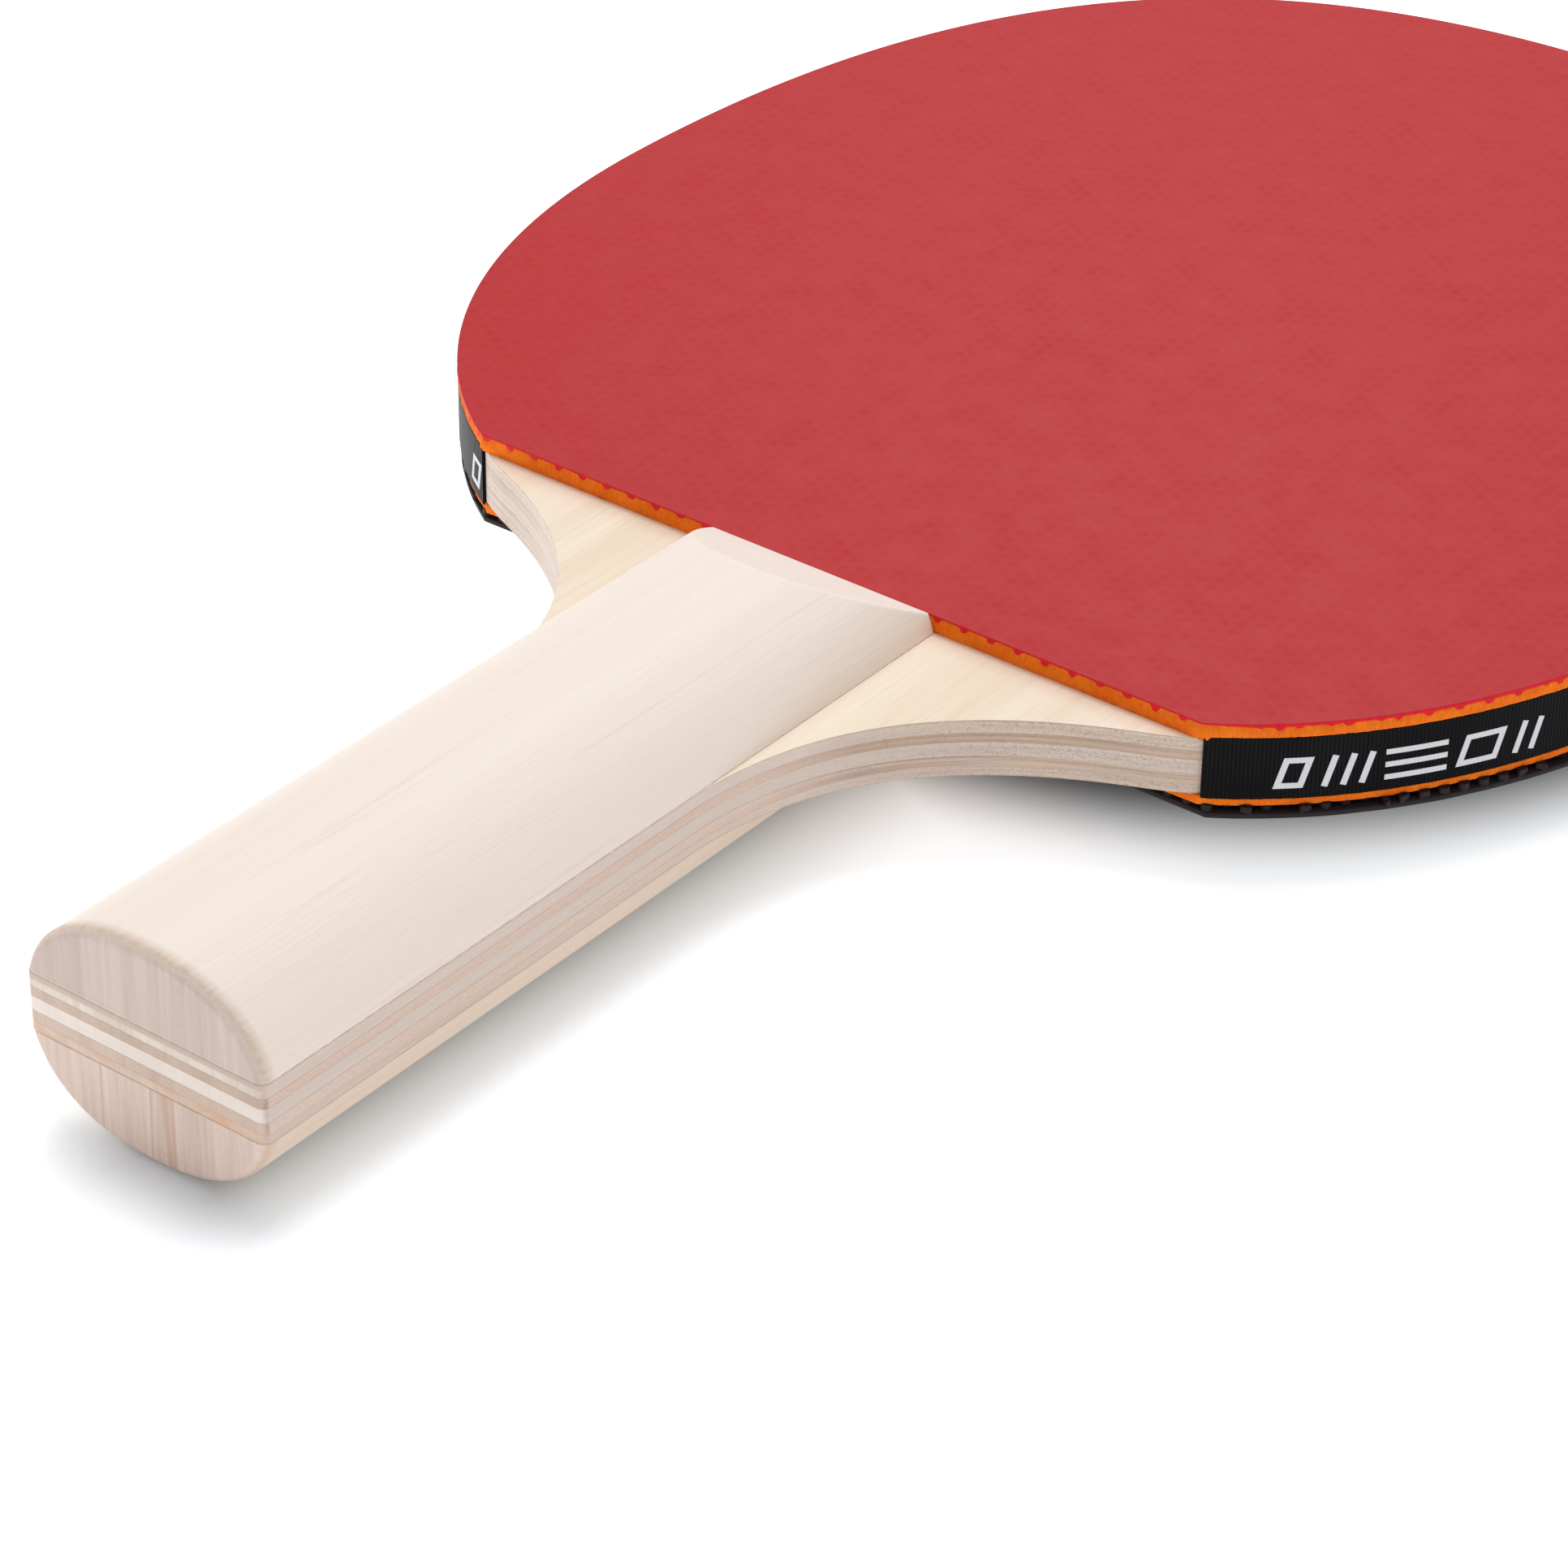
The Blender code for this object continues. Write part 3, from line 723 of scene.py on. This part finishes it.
def print_marks():
    """Slanted boxes, bars and dashes: a made-up pattern that stands for the printing."""
    verts, faces, uv = [], [], []
    middle, tall = MID_Z - 0.5 * MM, 3.5 * MM

    def add(left, right, closed=False):
        """A film of ink between two edges, its root sunk in the cloth."""
        start, n = len(verts), len(left)
        for a, b in zip(left, right):
            for arc, point in ((INK_TOP, a), (INK_TOP, b), (INK_ROOT, b), (INK_ROOT, a)):
                verts.append(on_tape(arc, *point))
                uv.append(tuple(point))
        for k in range(n if closed else n - 1):
            a, b = start + 4 * k, start + 4 * ((k + 1) % n)
            faces.extend((a + i, a + (i + 1) % 4, b + (i + 1) % 4, b + i) for i in range(4))
        if not closed:
            faces.append(tuple(start + i for i in (3, 2, 1, 0)))
            faces.append(tuple(start + 4 * (n - 1) + i for i in range(4)))

    def box_mark(s, wide, line=0.62 * MM):
        """The outline of a slanted box."""
        lean = 1.0 * MM
        outline = []
        for inset in (0.0, line):
            w, h = wide - lean - 2.2 * inset, tall - 2 * inset
            left = s + wide / 2 - w / 2
            corners = [(0, -0.5), (1, -0.5), (1, 0.5), (0, 0.5)]
            points = [(left + w * u + lean * v * h / tall, middle + h * v) for u, v in corners]
            outline.append(np.concatenate([np.linspace(points[i], points[(i + 1) % 4], 8, endpoint=False)
                                           for i in range(4)]))
        add(*outline[::-1], closed=True)
        return s + wide

    def slant_mark(s, count):
        for _ in range(count):
            add(*stroke([(s + (0.35 + 1.0 * t) * MM, middle + tall * (t - 0.5))
                         for t in np.linspace(0, 1, 8)], 0.66 * MM))
            s += 1.9 * MM
        return s

    def bar_mark(s, long):
        for row in (-0.5, 0.0, 0.5):
            add(*stroke([(s + long * t, middle + row * (tall - 0.6 * MM))
                         for t in np.linspace(0, 1, 24)], 0.6 * MM))
        return s + long

    first, last, count = 7.0 * MM, PRINT_ALONG[-1] - 4.2 * MM, 8
    for k in range(count + 1):
        s = first + (last - first) * k / count
        s = box_mark(s, 4.0 * MM) + 0.8 * MM
        if k == count:
            continue
        s = slant_mark(s, 3) + 0.8 * MM
        s = bar_mark(s, 6.6 * MM) + 1.0 * MM
        s = box_mark(s, 5.6 * MM) + 0.8 * MM
        slant_mark(s, 2)
    obj = add_object("tape_printing", verts, faces, tape_ink, 0.6, uv)


print_marks()

# ---------------------------------------------------------------- floor, light and camera
bpy.ops.mesh.primitive_plane_add(size=6.0, location=(0, 0, -0.02 * MM))
floor = bpy.context.object
floor.name = "floor"
paper = Graph("paper_floor", 0.85)
grain = paper.noise((60, 60, 60), 3, 0.5)
paper.shader.inputs["Emission Color"].default_value = (1.0, 1.0, 1.0, 1.0)
# The paper glows a little, as on a light table, and less so beside the bat, mostly on its right: that weaker
# glow is a painted shadow, added to the one that is cast.
px, py, _ = paper.axes(paper.geometry.outputs["Position"])
px, py = paper.math("SUBTRACT", px, 3 * MM), paper.math("ADD", py, 4 * MM)


def length_of(x, y):
    squares = paper.math("MULTIPLY", x, x), paper.math("MULTIPLY", y, y)
    return paper.math("SQRT", paper.math("ADD", *squares))


def beyond(value, middle, half):
    offset = paper.math("ABSOLUTE", paper.math("SUBTRACT", value, middle))
    return paper.math("MAXIMUM", paper.math("SUBTRACT", offset, half), 0.0)


HEAD_MIDDLE, HEAD_WIDE, HEAD_LONG = 46 * MM, 76 * MM, 80 * MM
from_handle = length_of(beyond(px, 0.0, 4 * MM), beyond(py, BUTT_Y + 50 * MM, 45 * MM))
round_head = length_of(paper.math("DIVIDE", px, HEAD_WIDE),
                       paper.math("DIVIDE", paper.math("SUBTRACT", py, HEAD_MIDDLE), HEAD_LONG))
from_head = paper.math("MULTIPLY", paper.math("SUBTRACT", round_head, 1.0), HEAD_WIDE)
beside_handle = paper.math("SUBTRACT", paper.math("MULTIPLY", from_handle, 0.68), 3.7 * MM)
away = paper.math("MINIMUM", beside_handle, paper.math("ADD", from_head, 3.6 * MM))
# Painted shadow: the glow fades out towards the bat's footprint.
glow_with_painted_shadow = paper.new("ShaderNodeMapRange", {"Value": away, "From Min": -7 * MM, "From Max": 9 * MM,
                                        "To Min": 0.0, "To Max": 0.64}, interpolation_type="SMOOTHSTEP")
# Painted light: extra glow left of the bat washes out the shadow there.
glow_with_painted_shadow = paper.math("ADD", glow_with_painted_shadow, paper.span(px, -12 * MM, -38 * MM, 0.0, 0.45))
paper.put(paper.shader.inputs["Emission Strength"], glow_with_painted_shadow)
floor.data.materials.append(paper.finish(paper.mix(grain, (0.65, 0.687, 0.727), (0.67, 0.707, 0.747))))

world = bpy.data.worlds.new("studio")
bpy.context.scene.world = world
world.use_nodes = True
sky = world.node_tree.nodes["Background"]
sky.inputs["Color"].default_value = (1.0, 1.0, 1.0, 1.0)
sky.inputs["Strength"].default_value = 0.565


def place(name, data, location=(0, 0, 0)):
    obj = bpy.data.objects.new(name, data)
    bpy.context.scene.collection.objects.link(obj)
    obj.location = location
    return obj


def turned_along(direction):
    return Vector(direction).to_track_quat("-Z", "Y").to_euler()


def soft_disc(name, energy, location, target):
    """A round light half a metre across, turned to its target."""
    data = bpy.data.lights.new(name, "AREA")
    data.shape, data.size, data.energy = "DISK", 0.5, energy
    light = place(name, data, location)
    light.rotation_euler = turned_along(Vector(target) - light.location)


sun_data = bpy.data.lights.new("window", "SUN")
sun_data.energy = 1.20
sun_data.angle = radians(24)
place("window", sun_data).rotation_euler = turned_along((0.16, -0.24, -1.0))
soft_disc("softbox", 1.35, (-0.30, 0.50, 0.60), (0, 0.05, 0))
soft_disc("fill", 0.18, (0.65, -0.45, 0.35), (0, -0.04, 0))

camera_data = bpy.data.cameras.new("camera")
camera_data.lens = 118.4
camera_data.sensor_width = 36.0
camera_data.clip_start = 0.01
camera = place("camera", camera_data, (0.27146, BUTT_Y - 0.26164, MID_Z + 0.26979))
YAW, DOWN, ROLL = radians(37.40), radians(32.77), radians(0.756)
turn = (Euler((0, 0, YAW)).to_matrix() @ Euler((pi / 2 - DOWN, 0, 0)).to_matrix()
        @ Euler((0, 0, ROLL)).to_matrix())
camera.rotation_euler = turn.to_euler()
bpy.context.scene.camera = camera
bpy.context.scene.view_settings.view_transform = "Standard"
